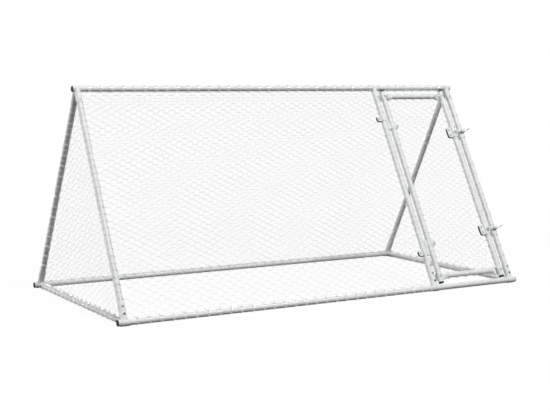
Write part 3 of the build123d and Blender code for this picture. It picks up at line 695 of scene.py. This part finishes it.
frame_ties = Ties()
front_fittings = {
    "start": ["front_left_foot_clamp", "left_apex_clamp"],
    "end": ["post_foot_clamp", "post_top_clamp", "lower_hinge_pintle", "upper_hinge_pintle"],
    "low": ["front_left_foot_clamp", "post_foot_clamp"],
    "high": ["left_apex_clamp", "post_top_clamp"]}
back_fittings = {
    "low": ["back_left_foot_clamp", "back_right_foot_clamp"],
    "high": ["left_apex_clamp", "right_apex_clamp", "post_top_clamp"]}
frame_ties.cross_tubes(FRONT, front_panel, 0, SLANT, front_fittings, LONG_TURNS)
frame_ties.uprights(FRONT, front_panel, (-LEG_X, POST_X), front_fittings, UPRIGHT_TURNS, LEFT_CORNER)
frame_ties.cross_tubes(BACK, back_panel, 0, SLANT, back_fittings, LONG_TURNS)
for side, wall, panel, x, inward in (("left", LEFT, left_panel, LEG_X, -X),
                                     ("right", RIGHT, right_panel, -LEG_X, X)):
    foot_clamps = ["front_" + side + "_foot_clamp", "back_" + side + "_foot_clamp"]
    frame_ties.along(wall, Vector((0, 0, 0)), X, Z, panel["columns"][1:-1:2], 0, foot_clamps, UPRIGHT_TURNS)
    met = up_leg(panel)
    between = [place + COLUMN * LEG_STEP / 2 for place in met]
    held = [side + "_apex_clamp", foot_clamps[1]]
    frame_ties.along(BACK, Vector((x, 0, 0)), Z, Y, met, 2, held, UPRIGHT_TURNS)
    frame_ties.along(BACK, Vector((x, 0, 0)), Z, inward, between, 2, held, LIGHT_TURNS)
frame_ties.along(FRONT, Vector((LEG_X, 0, 0)), Z, Y, up_leg(right_panel), 2,
                 ["right_apex_clamp", "front_right_foot_clamp", "lower_latch_keeper", "upper_latch_keeper"],
                 UPRIGHT_TURNS)
frame_ties.finish("frame_netting_ties", "frame")

door_ties = Ties()
door_fittings = {
    "start": ["lower_hinge_eye", "upper_hinge_eye"],
    "end": ["lower_latch_clamp", "upper_latch_clamp"],
    "low": [], "high": []}
door_ties.cross_tubes(FRONT, door_panel, BOTTOM_RAIL, TOP_RAIL, door_fittings, DOOR_TURNS)
door_ties.uprights(FRONT, door_panel, (HINGE_X, LATCH_X), door_fittings, LIGHT_TURNS)
door_ties.finish("door_netting_ties", "door")

# --- ear edging ------------------------------------------------------------


def ear_edging(name, body, tube_x, clamps):
    """Painted shade: a black strip down the free end and along the lower edge of the ears of like clamps on a
    tube.
    """
    path = []
    edges = []
    across = []
    for node in clamps:
        ears = [p for p in on_wall(node, FRONT) if p.x < tube_x - TUBE_R - EDGE_STOP]
        end = min(p.x for p in ears)
        low = min(p.z for p in ears)
        high = max(p.z for p in ears)
        across += [p.y for p in ears if p.x < end + EDGE_STOP]
        first = len(path)
        path += [(-end, high - EDGE_ROUND, 0), (-end, low, 0), (TUBE_R + EDGE_STOP - tube_x, low, 0)]
        edges += [(first, first + 1), (first + 1, first + 2)]
    gap = 2 * min(y for y in across if y > 0)
    mesh = shaped(shade_strip_nodes, points_mesh(path, edges=edges), corner=EDGE_ROUND, cap=max(across) - min(across),
                  proud=EDGE_PROUD, tongue=gap - 2 * EDGE_ROOM, depth=EDGE_DEPTH,
                  material=finishes["black_plastic"])
    mesh.transform(EARS)
    add_piece(name, mesh, body, "black_plastic")


# Painted shade: black strips where the ears' free ends and lower edges are only in shade
ear_edging("hinge_ear_painted_shade", "frame", POST_X, ["lower_hinge_pintle", "upper_hinge_pintle"])
ear_edging("latch_ear_painted_shade", "door", LATCH_X, ["lower_latch_clamp", "upper_latch_clamp"])

# --- stage -----------------------------------------------------------------


def seen_directly(nodes):
    """1 for rays from the camera and for their mirror images and refractions, else 0."""
    path = nodes.node("ShaderNodeLightPath").outputs
    seen = path["Is Camera Ray"]
    for other in ("Is Glossy Ray", "Is Transmission Ray"):
        seen = nodes.node("ShaderNodeMath", {0: seen, 1: path[other]}, operation="MAXIMUM").outputs[0]
    return seen


def floor():
    """Plain white floor that keeps a faint shadow and throws little light back."""
    made = Finish("pale_floor")
    direct = seen_directly(made)
    tone = made.node("ShaderNodeMix", {
        "Factor": direct, 6: (FLOOR_BOUNCE,) * 3 + (1,), 7: (FLOOR_TONE,) * 3 + (1,)}, data_type="RGBA")
    made.set(Base_Color=tone.outputs[2], Roughness=1.0, Specular_IOR_Level=0.0)
    white = made.node("ShaderNodeEmission", {"Color": WHITE, "Strength": 1.0})
    away = made.node("ShaderNodeVectorMath", {0: made.place}, operation="LENGTH").outputs["Value"]
    near = made.node("ShaderNodeMapRange", {
        "Value": away, "From Min": FLOOR_PLAIN[0], "From Max": FLOOR_PLAIN[1],
        "To Min": FLOOR_WHITE, "To Max": 1.0}, interpolation_type="SMOOTHSTEP")
    share = made.node("ShaderNodeMath", {0: direct, 1: near.outputs[0]}, operation="MULTIPLY")
    both = made.node("ShaderNodeMixShader", {
        0: share.outputs[0], 1: made.shader.outputs[0], 2: white.outputs[0]})
    made.feed(made.graph.nodes["Material Output"].inputs["Surface"], both.outputs[0])
    corners = [(x * FLOOR_HALF, y * FLOOR_HALF, 0) for x, y in ((-1, -1), (1, -1), (1, 1), (-1, 1))]
    mesh = points_mesh(corners, [(0, 1, 2, 3)])
    mesh.materials.append(made.material)
    plane = linked("floor", mesh)


def surround():
    """White background with a weak light of its own."""
    world = bpy.data.worlds.new("surround")
    bpy.context.scene.world = world
    world.use_nodes = True
    nodes = Nodes(world.node_tree)
    ambient = nodes.graph.nodes["Background"]
    nodes.feed(ambient.inputs["Color"], WHITE)
    nodes.feed(ambient.inputs["Strength"], AMBIENT)
    white = nodes.node("ShaderNodeBackground", {"Color": WHITE, "Strength": 1.0})
    both = nodes.node("ShaderNodeMixShader", {
        0: seen_directly(nodes), 1: ambient.outputs[0], 2: white.outputs[0]})
    nodes.feed(nodes.graph.nodes["World Output"].inputs["Surface"], both.outputs[0])


def soft_box(name, place, width, height, power):
    lamp = bpy.data.lights.new(name, "AREA")
    lamp.shape = "RECTANGLE"
    lamp.size = width
    lamp.size_y = height
    lamp.energy = power
    made = linked(name, lamp)
    made.location = place
    made.rotation_euler = (Vector(LAMP_AIM) - Vector(place)).to_track_quat("-Z", "Y").to_euler()
    made.visible_camera = False


def camera():
    lens = bpy.data.cameras.new("camera")
    lens.sensor_fit = "HORIZONTAL"
    lens.sensor_width = CAMERA_SENSOR
    lens.lens = CAMERA_LENS
    lens.shift_y = CAMERA_SHIFT
    made = linked("camera", lens)
    made.location = CAMERA_PLACE
    made.rotation_euler = (radians(90) + CAMERA_PITCH, 0, -CAMERA_YAW)
    bpy.context.scene.camera = made


floor()
surround()
for lamp in LAMPS:
    soft_box(*lamp)
camera()
bpy.context.scene.view_settings.view_transform = "Standard"
